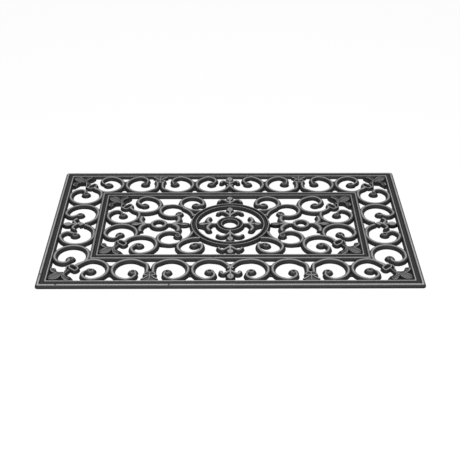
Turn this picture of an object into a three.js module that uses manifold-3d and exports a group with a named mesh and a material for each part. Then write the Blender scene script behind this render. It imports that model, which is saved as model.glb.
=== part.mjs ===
// A cast rubber door mat: an open scrollwork grille inside a beaded frame.
// Millimetres, +Z up, the origin under the middle of the mat. Every ridge is drafted, as a moulding is.
// One quarter of the pattern is drawn, with x and y both positive, and mirrored into the other three.
import * as THREE from "three";
import { mergeVertices } from "three/addons/utils/BufferGeometryUtils.js";
import Module from "manifold-3d";

const wasm = await Module();
wasm.setup();

// Overall size
const LENGTH = 750;
const WIDTH = 450;
const CORNER_RADIUS = 7;

// Heights above the floor
const FRAME_HEIGHT = 7;
const FIELD_HEIGHT = 8;
const BOSS_HEIGHT = 8.4;
const GROOVE_FLOOR = 3.6;
const DIMPLE_DEPTH = 2.5;
const POCKET_FLOOR = 6;

// Half widths of the ridges at the floor and at the crest
const RIDGE = { base: 6.3, top: 1.6 };
const ARM = { base: 5.4, top: 1.5 };
const STEM = { base: 4.2, top: 1.5 };

// Frames: feet and bead centres, measured inwards from the edge of each frame
const OUTER_FRAME = { x: LENGTH / 2, y: WIDTH / 2, beads: [5.2, 17.2], foot: 22.4, height: FRAME_HEIGHT };
const INNER_FRAME = { x: 282.7, y: 133.7, beads: [4.2, 15.2], foot: 20, height: FIELD_HEIGHT };
const BEAD_TOP = 1.4;
const GROOVE_DRAFT = 1.6;

// Rings of the middle medallion: crest radii, with the foot radii outside and inside them
const MEDALLION = { beads: [81, 71.5], feet: [85.4, 67], sides: 30 };
const HUB = { beads: [26.3, 18.2], feet: [31.2, 14], sides: 18 };
const LINK_RING = { x: 149.8, crest: 14.4, base: 6.2, sides: 14 };

// The border scrolls repeat at this pitch along the long sides
const PITCH = 78.5;
const BORDER_Y = 168.7;
const SCROLL_RADIUS = 34.9;
const LEAN = 1.5;

// Room left between pieces that meet, and how far a cutting shape reaches past what it cuts
const GAP = 0.3;
const CUT_BELOW = -1;
const CUT_ABOVE = 12;

// Vertices closer than this are one, and faces flatter than this are one
const WELD = 1e-4;
const FLATNESS = 1e-3;

const BOSS_SIDES = 7;

// Radii of an eye's flat top and of its dimple, as shares of the radius at its foot
const BOSS_TOP = 0.52;
const BOSS_DIMPLE = 0.22;

// The dimple in a bud as a share of its size, and the straight middle of a pointed leaf as a share of its length
const BUD_DIMPLE = 0.4;
const LENS_SHOULDER = 0.4;
const FLUTE_DRAFT = 0.6;

const RUBBER = { color: 0x2b2b2d, roughness: 0.62, metalness: 0 };

// Turns a closed geometry into a solid whose faces point outwards.
function solid(geometry) {
  const bare = geometry.clone();
  bare.deleteAttribute("normal");
  bare.deleteAttribute("uv");
  const merged = mergeVertices(bare, WELD);
  const corners = merged.index.array;
  const kept = [];
  for (let i = 0; i < corners.length; i += 3) {
    const [a, b, c] = corners.slice(i, i + 3);
    if (a !== b && b !== c && c !== a) kept.push([a, b, c]);
  }
  const build = (faces) => {
    const vertProperties = merged.attributes.position.array;
    const triVerts = new Uint32Array(faces.flat());
    return new wasm.Manifold(new wasm.Mesh({ numProp: 3, vertProperties, triVerts }));
  };
  const made = build(kept);
  return made.volume() > 0 ? made : build(kept.map(([a, b, c]) => [a, c, b]));
}

function surface(part) {
  const { vertProperties, triVerts } = part.getMesh();
  const geometry = new THREE.BufferGeometry();
  geometry.setAttribute("position", new THREE.BufferAttribute(vertProperties, 3));
  geometry.setIndex(new THREE.BufferAttribute(triVerts, 1));
  geometry.computeVertexNormals();
  return geometry;
}

function join(...parts) {
  return parts.reduce((whole, part) => whole.add(part));
}

// Cuts the neighbours away, keeps the main body of what is left, and makes each flat face whole again.
function trim(part, ...cutters) {
  const left = cutters.reduce((whole, cutter) => whole.subtract(cutter), part);
  const body = left.decompose().reduce((a, b) => (b.volume() > a.volume() ? b : a));
  return body.asOriginal().simplify(FLATNESS);
}

function moved(part, matrix) {
  return solid(surface(part).applyMatrix4(matrix));
}

const MIRROR_X = new THREE.Matrix4().makeScale(-1, 1, 1);
const MIRROR_Y = new THREE.Matrix4().makeScale(1, -1, 1);

function bothSides(part, mirror) {
  return join(part, moved(part, mirror));
}

function place(x, y, angle) {
  const turn = new THREE.Matrix4().makeRotationZ(angle);
  return new THREE.Matrix4().makeTranslation(x, y, 0).multiply(turn);
}

function prism(outline, bottom, top) {
  const shape = new THREE.Shape(outline.map(([x, y]) => new THREE.Vector2(x, y)));
  const geometry = new THREE.ExtrudeGeometry(shape, { depth: top - bottom, bevelEnabled: false });
  return solid(geometry.translate(0, 0, bottom));
}

// Points on a circle, from one angle to another in equal steps, in degrees.
function arc([cx, cy], radius, from, to, count) {
  const angles = Array.from({ length: count + 1 }, (_, i) => from + ((to - from) * i) / count);
  return angles.map((angle) => {
    const a = THREE.MathUtils.degToRad(angle);
    return [cx + radius * Math.cos(a), cy + radius * Math.sin(a)];
  });
}

function offset([cx, cy], points) {
  return points.map(([x, y]) => [cx + x, cy + y]);
}

// A path whose steps follow its points, which lie closer together where it curls.
class ScrollPath extends THREE.CatmullRomCurve3 {
  getUtoTmapping(u) {
    return u;
  }
}

function reach([x, y], [nextX, nextY], distance) {
  const length = Math.hypot(x - nextX, y - nextY);
  return [x + ((x - nextX) * distance) / length, y + ((y - nextY) * distance) / length];
}

// A drafted ridge along a path. With grow it is the wider shape that cuts its neighbours.
function ridge(points, { base, top }, grow = 0, height = FIELD_HEIGHT) {
  const slope = (base - top) / height;
  const low = grow ? CUT_BELOW : 0;
  const half = [[low, base + grow - slope * low], [height, top + grow]];
  if (grow) half.push([CUT_ABOVE, top + grow]);
  const left = half.map(([z, y]) => new THREE.Vector2(-z, y));
  const right = half.map(([z, y]) => new THREE.Vector2(-z, -y)).reverse();
  const ends = [...points];
  ends[0] = reach(points[0], points[1], grow);
  ends[ends.length - 1] = reach(points.at(-1), points.at(-2), grow);
  const extrudePath = new ScrollPath(ends.map(([x, y]) => new THREE.Vector3(x, y, 0)));
  const steps = points.length - 1;
  return solid(new THREE.ExtrudeGeometry(new THREE.Shape([...left, ...right]), { steps, extrudePath }));
}

function turned(profile, sides, x, y) {
  const points = profile.map(([radius, z]) => new THREE.Vector2(radius, z));
  return solid(new THREE.LatheGeometry(points, sides).rotateX(Math.PI / 2).translate(x, y, 0));
}

// The eye of a scroll: a low cone with a dimple in its flat top.
function boss([x, y], base, grow = 0) {
  const top = base * BOSS_TOP;
  const dimple = base * BOSS_DIMPLE;
  const profile = grow
    ? [[0, CUT_BELOW], [base + grow, CUT_BELOW], [base + grow, 0], [top + grow, BOSS_HEIGHT],
      [top + grow, CUT_ABOVE], [0, CUT_ABOVE]]
    : [[0, 0], [base, 0], [top, BOSS_HEIGHT], [dimple, BOSS_HEIGHT], [0, BOSS_HEIGHT - DIMPLE_DEPTH]];
  return turned(profile, BOSS_SIDES, x, y);
}

// A pad with drafted walls. The outline is the edge of its top face.
function pad(outline, draft, grow = 0, height = FIELD_HEIGHT) {
  const shape = new THREE.Shape(outline.map(([x, y]) => new THREE.Vector2(x, y)));
  const rise = grow ? CUT_ABOVE : height;
  const bevelSize = grow ? (draft * rise) / height : draft;
  const bevelOffset = grow ? grow + draft - bevelSize : 0;
  const settings = { depth: 1, bevelThickness: rise, bevelSize, bevelOffset, bevelSegments: 1 };
  const tapered = solid(new THREE.ExtrudeGeometry(shape, settings).translate(0, 0, -1));
  const reachX = 2 * LENGTH;
  const floor = grow ? CUT_BELOW : 0;
  const square = [[-reachX, -reachX], [reachX, -reachX], [reachX, reachX], [-reachX, reachX]];
  const ground = prism(square, floor, CUT_ABOVE);
  return tapered.intersect(ground);
}

// The hollow in the top of a pad, wider at its mouth. The outline is the edge of its floor.
function pocket(outline, draft, floor = POCKET_FLOOR) {
  const shape = new THREE.Shape(outline.map(([x, y]) => new THREE.Vector2(x, y)));
  const depth = FIELD_HEIGHT - floor;
  const settings = { depth: 2, bevelThickness: depth, bevelSize: draft, bevelSegments: 1 };
  return solid(new THREE.ExtrudeGeometry(shape, settings).translate(0, 0, FIELD_HEIGHT));
}

function lens([cx, cy], halfLength, halfWidth) {
  const shoulder = halfLength * LENS_SHOULDER;
  return offset([cx, cy], [
    [-halfLength, 0], [-shoulder, -halfWidth], [shoulder, -halfWidth],
    [halfLength, 0], [shoulder, halfWidth], [-shoulder, halfWidth],
  ]);
}

// Frames of two beads with a groove between them

// Section of a frame: how far in from its edge, and how high.
function frameSection({ beads: [outer, inner], foot, height }, grow) {
  const t = BEAD_TOP + grow;
  if (grow) {
    return [[-grow, 0], [outer - t, height], [outer - t, CUT_ABOVE], [inner + t, CUT_ABOVE],
      [inner + t, height], [foot + grow, 0], [foot + grow, CUT_BELOW], [-grow, CUT_BELOW]];
  }
  return [[0, 0], [outer - t, height], [outer + t, height], [outer + t + GROOVE_DRAFT, GROOVE_FLOOR],
    [inner - t - GROOVE_DRAFT, GROOVE_FLOOR], [inner - t, height], [inner + t, height], [foot, 0]];
}

// One bar of a frame along x, its outer edge at y = -edge, mitred at both ends.
function frameBar(frame, halfLength, edge, radius, grow = 0) {
  const shape = new THREE.Shape(frameSection(frame, grow).map(([d, z]) => new THREE.Vector2(d, z)));
  const bar = new THREE.ExtrudeGeometry(shape, { depth: 2 * halfLength, bevelEnabled: false });
  // The section lies in x and y and runs along z: its x turns to y, its y to z and its z to x.
  const upright = new THREE.Matrix4().makeBasis(
    new THREE.Vector3(0, 1, 0), new THREE.Vector3(0, 0, 1), new THREE.Vector3(1, 0, 0));
  const whole = solid(bar.applyMatrix4(upright).translate(-halfLength, -edge, 0));
  if (grow) return whole;
  const inset = GAP * Math.SQRT1_2;
  const depth = frame.foot + 1;
  const round = arc([halfLength - radius, radius - edge], radius, 270, 315, 3)
    .map(([x, y]) => [Math.min(x, halfLength - inset - (y + edge)), y]);
  const right = [...round, [halfLength - inset - depth, depth - edge]];
  const left = right.map(([x, y]) => [-x, y]).reverse();
  return whole.intersect(prism([...left, ...right], CUT_BELOW, CUT_ABOVE));
}

function frameBars(frame, radius, grow) {
  const long = frameBar(frame, frame.x, frame.y, radius, grow);
  const short = frameBar(frame, frame.y, frame.x, radius, grow);
  return {
    front: long,
    back: moved(long, place(0, 0, Math.PI)),
    left: moved(short, place(0, 0, -Math.PI / 2)),
    right: moved(short, place(0, 0, Math.PI / 2)),
  };
}

// Round rings of the middle

function twinRing({ beads: [outer, inner], feet: [outerFoot, innerFoot], sides }, grow = 0) {
  const t = BEAD_TOP + grow;
  const grown = [[innerFoot - grow, CUT_BELOW], [outerFoot + grow, CUT_BELOW], [outerFoot + grow, 0],
    [outer + t, FIELD_HEIGHT], [outer + t, CUT_ABOVE], [inner - t, CUT_ABOVE], [inner - t, FIELD_HEIGHT],
    [innerFoot - grow, 0]];
  const cast = [[innerFoot, 0], [outerFoot, 0], [outer + t, FIELD_HEIGHT], [outer - t, FIELD_HEIGHT],
    [outer - t - GROOVE_DRAFT, GROOVE_FLOOR], [inner + t + GROOVE_DRAFT, GROOVE_FLOOR],
    [inner + t, FIELD_HEIGHT], [inner - t, FIELD_HEIGHT]];
  const profile = grow ? grown : cast;
  return turned([...profile, profile[0]], sides, 0, 0);
}

function linkRing(grow = 0) {
  const { x, crest, base, sides } = LINK_RING;
  const b = base + grow;
  const t = RIDGE.top + grow;
  const profile = grow
    ? [[crest - b, CUT_BELOW], [crest + b, CUT_BELOW], [crest + b, 0], [crest + t, FIELD_HEIGHT],
      [crest + t, CUT_ABOVE], [crest - t, CUT_ABOVE], [crest - t, FIELD_HEIGHT], [crest - b, 0]]
    : [[crest - b, 0], [crest + b, 0], [crest + t, FIELD_HEIGHT], [crest - t, FIELD_HEIGHT]];
  return turned([...profile, profile[0]], sides, x, 0);
}

// Scrolls: a lead, a round stretch, and a curl that ends in its eye

function scroll({ lead = [], centre, radius, sweep: [from, to, count], curl, eye, eyeBase }) {
  const path = [...lead, ...arc(centre, radius, from, to, count), ...offset(centre, curl)];
  return (grow) => join(ridge(path, RIDGE, grow), boss(offset(centre, [eye])[0], eyeBase, grow));
}

// Two neighbours lean towards each other, until their flanks nearly touch.
function borderCentre(index, lean) {
  return [PITCH * (index + 0.5) + lean, BORDER_Y];
}

const firstBorderScroll = scroll({
  lead: [[4.5, 154.8], [10.5, 146.3], [20.5, 138.5]],
  centre: borderCentre(0, LEAN),
  radius: SCROLL_RADIUS,
  sweep: [270, 420, 5],
  curl: [[8, 33.4], [-4.5, 28.2], [-10.2, 18.5], [-10, 8.5], [-5.7, 1.9]],
  eye: [-0.6, 4.5],
  eyeBase: 10,
});

const thirdBorderScroll = scroll({
  lead: [[163.2, 177], [162.8, 162], [165.6, 150]],
  centre: borderCentre(2, LEAN),
  radius: SCROLL_RADIUS,
  sweep: [228, 420, 7],
  curl: [[4.4, 33.4], [-6.4, 28.2], [-12.4, 18.6], [-13.4, 9.8], [-10.7, 4]],
  eye: [-6.5, 6.5],
  eyeBase: 10,
});

const fourthBorderScroll = scroll({
  lead: [[299, 152], [292, 143.5], [284, 137]],
  centre: borderCentre(3, -LEAN),
  radius: SCROLL_RADIUS,
  sweep: [270, 120, 5],
  curl: [[-3.6, 33.4], [8, 28.4], [15, 18.4], [15, 7], [6, -3]],
  eye: [1.5, 0.5],
  eyeBase: 10.5,
});

// The second scroll is the third turned over about the lyre between them.
const LYRE_X = 2 * PITCH;
const OVER_LYRE = new THREE.Matrix4().makeTranslation(2 * LYRE_X, 0, 0).multiply(MIRROR_X);

function secondBorderScroll(grow) {
  return moved(thirdBorderScroll(grow), OVER_LYRE);
}

const cornerEndScroll = scroll({
  lead: [[300.3, 149.8], [293.3, 145.8], [287.3, 140.8], [284, 134], [282.5, 126]],
  centre: [316.6, 117],
  radius: 34.6,
  sweep: [180, 360, 6],
  curl: [[32.6, 10.6], [24.8, 22.8], [13.8, 27.2], [5, 23.4], [2.2, 15.5]],
  eye: [1.2, 11],
  eyeBase: 10,
});

const middleEndScroll = scroll({
  lead: [[304.5, 3.5], [298.3, 7], [290.3, 13.8], [284.6, 23.5]],
  centre: [316.2, 43.6],
  radius: 34.2,
  sweep: [190, 0, 7],
  curl: [[29.1, -8.4], [22.1, -12.9], [15.1, -11.4], [9.6, -7.6]],
  eye: [4.1, -3.6],
  eyeBase: 9.8,
});

const sideScroll = scroll({
  lead: [[195.6, 47]],
  centre: [227.6, 35.6],
  radius: 34.4,
  sweep: [180, 360, 6],
  curl: [[31.5, 7.4], [24.4, 15.7], [14.2, 19], [5.8, 14.4], [2.6, 7]],
  eye: [1.9, 3.3],
  eyeBase: 9,
});

const cornerScroll = scroll({
  lead: [[209.5, 72], [212.3, 62.5]],
  centre: [183.7, 78.5],
  radius: 33.8,
  sweep: [315, 90, 8],
  curl: [[8.4, 30], [14.6, 22], [16.4, 12.5], [8.8, -0.5]],
  eye: [1.1, 1],
  eyeBase: 9.5,
});

const smallScroll = scroll({
  lead: [[103, 69.5], [108.5, 72.2]],
  centre: [125, 54.8],
  radius: 24.5,
  sweep: [113, -112, 7],
  curl: [[-16, -19.6]],
  eye: [-16.8, -10.6],
  eyeBase: 9,
});

// The arch that springs from the medallion, with the long arm that runs into it.
const archScroll = scroll({
  lead: [[61.5, 51.1], [70.5, 52.1], [80.5, 54.6], [90.5, 60.1], [98.5, 66.6]],
  centre: [82.3, 86],
  radius: 25.4,
  sweep: [-20, 200, 7],
  curl: [[-16.8, -9]],
  eye: [-8.8, -6.4],
  eyeBase: 10,
});
const LONG_ARM = [[78, 31.2], [79.5, 37.1], [82.5, 45.1], [88.5, 54.1], [96.5, 61.6], [101, 66]];

function arch(grow) {
  return join(archScroll(grow), ridge(LONG_ARM, ARM, grow));
}

// Sprays: a grooved collar, a neck with its own eye, and three hollow leaves

const SPRAY_ANGLE = THREE.MathUtils.degToRad(37.7);
const BORDER_COLLAR = [308.3, 158.2];
const FIELD_COLLAR = [219.1, 68.6];

// Drawn along +x from the middle of the collar.
const COLLAR = { halfDepth: 6.6, halfWidth: 10.8, corner: 4, draft: 1.6, rim: 3.4 };
const NECK_EYE = [12.4, -1.2];
const NECK = [[12.4, -1.2], [16.5, 2.6], [24, 2.8]];
const LEAVES = [
  {
    outline: [[25, 3], [34, -2], [44, -3.2], [56, 0], [64, 12], [60, 17], [50, 16.8], [32, 8.5]],
    hollow: [[32, 3.4], [43, 0], [53, 2.8], [59.4, 12.5], [46, 12]],
  },
  {
    outline: [[21, 2], [30, 1.2], [40.5, -7], [43.4, -16], [37.5, -25], [32.4, -21], [33.2, -12.5]],
    hollow: [[36.4, -9.6], [39.4, -15], [36.4, -19.4]],
  },
  {
    outline: [[20, 4], [27.3, 20], [24, 31], [26, 36], [33, 35.5], [37.6, 23], [26, 4.5]],
    hollow: [[30.4, 16], [29.4, 29], [33.4, 23]],
  },
];
const LEAF_DRAFT = 2.2;
const COLLAR_FLOOR = 3;
const HOLLOW_DRAFT = 1.2;
const NECK_EYE_BASE = 6.5;

// A rectangle about the origin with its corners cut off.
function chamfered(halfX, halfY, corner) {
  const quarter = [[halfX, halfY - corner], [halfX - corner, halfY]];
  const rightSide = [...quarter.map(([x, y]) => [x, -y]).reverse(), ...quarter];
  return [...rightSide, ...rightSide.map(([x, y]) => [-x, -y])];
}

function spray(centre, grow = 0) {
  const { halfDepth, halfWidth, corner, draft, rim } = COLLAR;
  const leaves = LEAVES.map(({ outline }) => pad(outline, LEAF_DRAFT, grow));
  const collar = pad(chamfered(halfDepth, halfWidth, corner), draft, grow);
  const body = join(collar, boss(NECK_EYE, NECK_EYE_BASE, grow), ridge(NECK, STEM, grow), ...leaves);
  if (grow) return moved(body, place(...centre, SPRAY_ANGLE));
  const hollows = LEAVES.map(({ hollow }) => pocket(hollow, HOLLOW_DRAFT));
  const recess = pocket(chamfered(halfDepth - rim, halfWidth - rim, corner / 2), HOLLOW_DRAFT, COLLAR_FLOOR);
  return moved(trim(body, recess, ...hollows), place(...centre, SPRAY_ANGLE));
}

// Fleurs: a stem with two curling leaves and a dimpled bud, drawn along +y

const BORDER_FLEUR = {
  stem: [[0, -46], [0, 3]],
  fork: [[0, -45], [3, -41], [6, -36.7]],
  leaf: [[0, -31], [5, -27], [10, -22.4], [15.5, -19.7], [18.6, -22.6], [19.3, -27.7]],
  bud: { y: -11.2, halfLength: 10.5, halfWidth: 6.2 },
};
const OUTER_FLEUR = {
  stem: [[0, 82], [0, 117]],
  leaf: [[0, 87], [6, 91.5], [12, 97.5], [17.2, 100.5], [21.8, 96], [24, 89]],
  bud: { y: 104.5, halfLength: 8.5, halfWidth: 6 },
};
const INNER_FLEUR = {
  stem: [[0, 27], [0, 70]],
  leaf: [[0, 33], [5, 40.5], [10, 46.3], [16, 49.2], [22, 47], [25, 41]],
  bud: { y: 57.7, halfLength: 9.3, halfWidth: 6 },
};

function fleur({ stem, fork, leaf, bud: { y, halfLength, halfWidth } }, grow = 0) {
  const half = [ridge(leaf, ARM, grow)];
  if (fork) half.push(ridge(fork, STEM, grow));
  const flat = [lens([y, 0], halfLength, halfWidth), lens([y, 0], halfLength * BUD_DIMPLE, halfWidth * BUD_DIMPLE)];
  const [outline, dimple] = flat.map((points) => points.map(([along, across]) => [across, along]));
  const middle = join(ridge(stem, STEM, grow), pad(outline, LEAF_DRAFT, grow));
  const whole = join(middle, bothSides(join(...half), MIRROR_X));
  return grow ? whole : whole.subtract(pocket(dimple, FLUTE_DRAFT, FIELD_HEIGHT - DIMPLE_DEPTH));
}

// The lyre between the second and third border scrolls

const LYRE_HALF = [[10.5, 177], [12, 181], [11.5, 187], [9, 191], [9.5, 195.5], [15.5, 206]];
const LYRE_HOLLOW = [[-5.5, 181], [5.5, 181], [3.5, 187], [-3.5, 187]];
const LYRE_FLUTES = [-6.5, 0, 6.5];
const LYRE_FLUTE = [[-0.6, 200], [0.6, 200], [1.2, 205.5], [-1.2, 205.5]];
const LYRE_DRAFT = 1.8;

function lyre(grow = 0) {
  const outline = [...LYRE_HALF, ...LYRE_HALF.map(([x, y]) => [-x, y]).reverse()];
  const body = pad(offset([LYRE_X, 0], outline), LYRE_DRAFT, grow);
  if (grow) return body;
  const flutes = LYRE_FLUTES.map((x) =>
    pocket(offset([LYRE_X + x, 0], LYRE_FLUTE), FLUTE_DRAFT));
  return trim(body, pocket(offset([LYRE_X, 0], LYRE_HOLLOW), HOLLOW_DRAFT), ...flutes);
}

// The link along the middle: pointed leaves, stems and a ring, with arms that curl out to both sides.
// A leaf is given by the x of its middle, its half length and its half width.

const LINK_LEAVES = [[198.4, 11.4, 5], [97, 12, 4.8]];
const LINK_STEMS = [[[166, 0], [192, 0]], [[105, 0], [134, 0]]];
const LINK_ARMS = [
  [[179, 0.6], [185, 4], [188.6, 11.5], [188.8, 20.5], [187.3, 30]],
  [[120, 0.4], [112.5, 4.8], [108.6, 12.5], [108.2, 21.5], [111, 31]],
];

function link(grow = 0) {
  const leaves = LINK_LEAVES.map(([x, length, width]) => pad(lens([x, 0], length, width), LEAF_DRAFT, grow));
  const stems = LINK_STEMS.map((path) => ridge(path, STEM, grow));
  const arms = LINK_ARMS.map((path) => bothSides(ridge(path, ARM, grow), MIRROR_Y));
  return join(linkRing(grow), ...stems, ...leaves, ...arms);
}

// The hub: a small ring held in the medallion by two fleurs and two pointed leaves with cross blades

const HUB_LEAF = [58, 9.2, 4.6];
const HUB_STEM = [[28, 0], [52, 0]];
const HUB_BLADE = [[40.5, 0.5], [45.6, 7], [46.6, 15], [43, 26]];

function hub() {
  const [x, length, width] = HUB_LEAF;
  const blade = bothSides(ridge(HUB_BLADE, ARM), MIRROR_Y);
  const side = join(pad(lens([x, 0], length, width), LEAF_DRAFT), ridge(HUB_STEM, STEM), blade);
  return join(twinRing(HUB), bothSides(side, MIRROR_X), bothSides(fleur(INNER_FLEUR), MIRROR_Y));
}

// Assembly

const outerBars = frameBars(OUTER_FRAME, CORNER_RADIUS, 0);
const innerBars = frameBars(INNER_FRAME, 1, 0);
const outerCut = Object.values(frameBars(OUTER_FRAME, CORNER_RADIUS, GAP));
const innerCut = Object.values(frameBars(INNER_FRAME, 1, GAP));
const frames = [...outerCut, ...innerCut];

// The faces between a quarter and its mirror images, and the one between the two scrolls at a lyre
const FAR = LENGTH;
const half = GAP / 2;
const leftOfMiddle = prism([[-FAR, -FAR], [half, -FAR], [half, FAR], [-FAR, FAR]], CUT_BELOW, CUT_ABOVE);
const frontOfMiddle = prism([[-FAR, -FAR], [FAR, -FAR], [FAR, half], [-FAR, half]], CUT_BELOW, CUT_ABOVE);
const lyreFace = prism([[LYRE_X - half, 0], [LYRE_X + half, 0], [LYRE_X + half, FAR], [LYRE_X - half, FAR]],
  CUT_BELOW, CUT_ABOVE);

function outerPair(grow) {
  return join(thirdBorderScroll(grow), fourthBorderScroll(grow));
}

function innerPair(grow) {
  return join(firstBorderScroll(grow), secondBorderScroll(grow));
}

function endPair(grow) {
  return join(cornerEndScroll(grow), middleEndScroll(grow));
}

const medallionCut = twinRing(MEDALLION, GAP);
const cuts = {
  outerPair: outerPair(GAP),
  innerPair: innerPair(GAP),
  endPair: endPair(GAP),
  side: sideScroll(GAP),
  corner: cornerScroll(GAP),
  small: smallScroll(GAP),
  arch: arch(GAP),
};

// Pieces of one quarter, each cut by those made before it
const quarterPieces = {
  border_scrolls_outer: trim(outerPair(0), ...frames, lyreFace),
  border_scrolls_inner: trim(innerPair(0), ...frames, lyreFace, leftOfMiddle),
  end_scrolls: trim(endPair(0), ...frames, cuts.outerPair, frontOfMiddle),
  border_spray: trim(spray(BORDER_COLLAR), ...frames, cuts.outerPair, cuts.endPair),
  lyre: trim(lyre(), ...frames, cuts.outerPair, cuts.innerPair),
  side_scroll: trim(sideScroll(0), ...frames, frontOfMiddle),
  corner_scroll: trim(cornerScroll(0), ...frames, cuts.side),
  small_scroll: trim(smallScroll(0), ...frames, cuts.corner),
  arch_scroll: trim(arch(0), ...frames, cuts.small, medallionCut),
  field_spray: trim(spray(FIELD_COLLAR), ...frames, cuts.side, cuts.corner),
};

const border = place(0, OUTER_FRAME.y - OUTER_FRAME.foot, 0);
const end = place(OUTER_FRAME.x - OUTER_FRAME.foot, 0, -Math.PI / 2);
const longFleur = trim(moved(fleur(BORDER_FLEUR), border), ...frames, bothSides(cuts.innerPair, MIRROR_X));
const endFleur = trim(moved(fleur(BORDER_FLEUR), end), ...frames, bothSides(cuts.endPair, MIRROR_Y));
const middleFleur = trim(fleur(OUTER_FLEUR), ...frames, medallionCut, bothSides(cuts.arch, MIRROR_X));
const sideLink = trim(link(), medallionCut, bothSides(cuts.side, MIRROR_Y), bothSides(cuts.small, MIRROR_Y));
const hubPiece = trim(hub(), medallionCut);

const mat = new THREE.Group();

function add(parent, name, geometry) {
  const material = new THREE.MeshStandardMaterial({ ...RUBBER, flatShading: true });
  const mesh = new THREE.Mesh(geometry, material);
  mesh.name = name;
  parent.add(mesh);
  return mesh;
}

for (const [side, bar] of Object.entries(outerBars)) add(mat, `outer_frame_${side}`, surface(bar));
for (const [side, bar] of Object.entries(innerBars)) add(mat, `inner_frame_${side}`, surface(bar));

const QUARTERS = { back_right: [1, 1], back_left: [-1, 1], front_right: [1, -1], front_left: [-1, -1] };
for (const [where, [sx, sy]] of Object.entries(QUARTERS)) {
  const quarter = new THREE.Group();
  quarter.scale.set(sx, sy, 1);
  mat.add(quarter);
  for (const [name, part] of Object.entries(quarterPieces)) add(quarter, `${name}_${where}`, surface(part));
}

const ENDS = { back: [1, 1], front: [1, -1], right: [1, 1], left: [-1, 1] };
const paired = [
  ["border_fleur", longFleur, ["back", "front"]],
  ["medallion_fleur", middleFleur, ["back", "front"]],
  ["end_fleur", endFleur, ["right", "left"]],
  ["side_link", sideLink, ["right", "left"]],
];
for (const [name, part, sides] of paired) {
  for (const side of sides) {
    const mesh = add(mat, `${name}_${side}`, surface(part));
    mesh.scale.set(...ENDS[side], 1);
  }
}

add(mat, "medallion_ring", surface(twinRing(MEDALLION)));
add(mat, "hub_rosette", surface(hubPiece));

export default mat;
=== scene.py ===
"""Rubber door mat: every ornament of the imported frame, cast again with rounded crests, eyes and leaves."""
import logging
import math
from collections.abc import Iterable, Sequence
from dataclasses import dataclass
from enum import Enum

import bmesh
import bpy
from mathutils import Matrix, Vector


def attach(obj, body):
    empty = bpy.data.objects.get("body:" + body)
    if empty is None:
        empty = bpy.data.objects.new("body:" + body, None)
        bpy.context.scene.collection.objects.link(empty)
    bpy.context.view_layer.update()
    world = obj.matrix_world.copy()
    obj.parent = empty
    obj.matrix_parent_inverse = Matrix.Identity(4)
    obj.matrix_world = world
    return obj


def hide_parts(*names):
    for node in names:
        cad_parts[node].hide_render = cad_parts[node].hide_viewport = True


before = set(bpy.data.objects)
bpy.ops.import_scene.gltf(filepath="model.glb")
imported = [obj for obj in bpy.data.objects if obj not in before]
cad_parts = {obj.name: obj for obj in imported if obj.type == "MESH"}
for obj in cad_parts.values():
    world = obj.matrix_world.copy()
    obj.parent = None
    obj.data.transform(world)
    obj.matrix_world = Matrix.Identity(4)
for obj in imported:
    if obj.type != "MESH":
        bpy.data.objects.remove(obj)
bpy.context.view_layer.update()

BODY = "root"
MM = 0.001
STEP = 2.0
FIELD_HEIGHT = 8.0
EYE_HEIGHT = 6.9
SHARP_ANGLE = 55.0
LEAF_LEVELS = ((1.6, 2.4), (1.2, 4.0), (0.5, 0.8), (1.2, 0.3), (1.1, 0.12))
LEAF_DRAFT = 2.8
BUD_LEVELS = ((1.5, 3.0), (1.1, 3.4), (0.5, 0.7), (1.4, 0.35), (1.2, 0.12), (0.7, -0.22))
BUD_DRAFT = 2.6

Point = tuple[float, float]
Place = tuple[float, float, float]
Knot = tuple[float, ...]
Outline = tuple[Point, ...]
Path = tuple[Knot, ...]
MIRROR_X = Matrix.Diagonal((-1, 1, 1, 1))
MIRROR_Y = Matrix.Diagonal((1, -1, 1, 1))
log = logging.getLogger("mat")


def on_circle(centre: Point, radius: float, degrees: float) -> Point:
    """The point of a circle at an angle."""
    angle = math.radians(degrees)
    return centre[0] + radius * math.cos(angle), centre[1] + radius * math.sin(angle)


def arc(centre: Point, radius: float, start: float, end: float, step: float = 12.0) -> list[Point]:
    """Points along a circle.

    Args:
        centre: Middle of the circle, in millimetres.
        radius: Its radius, in millimetres.
        start: First angle, in degrees.
        end: Last angle, in degrees.
        step: About how many degrees lie between two points.

    Returns:
        The points, both ends included.
    """
    count = max(2, round(abs(end - start) / step))
    return [on_circle(centre, radius, start + (end - start) * i / count) for i in range(count + 1)]


def shifted(knots: Iterable[Knot], by: Point) -> list[Knot]:
    """The knots, moved, with their sizes kept."""
    return [(x + by[0], y + by[1], *size) for x, y, *size in knots]


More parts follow.
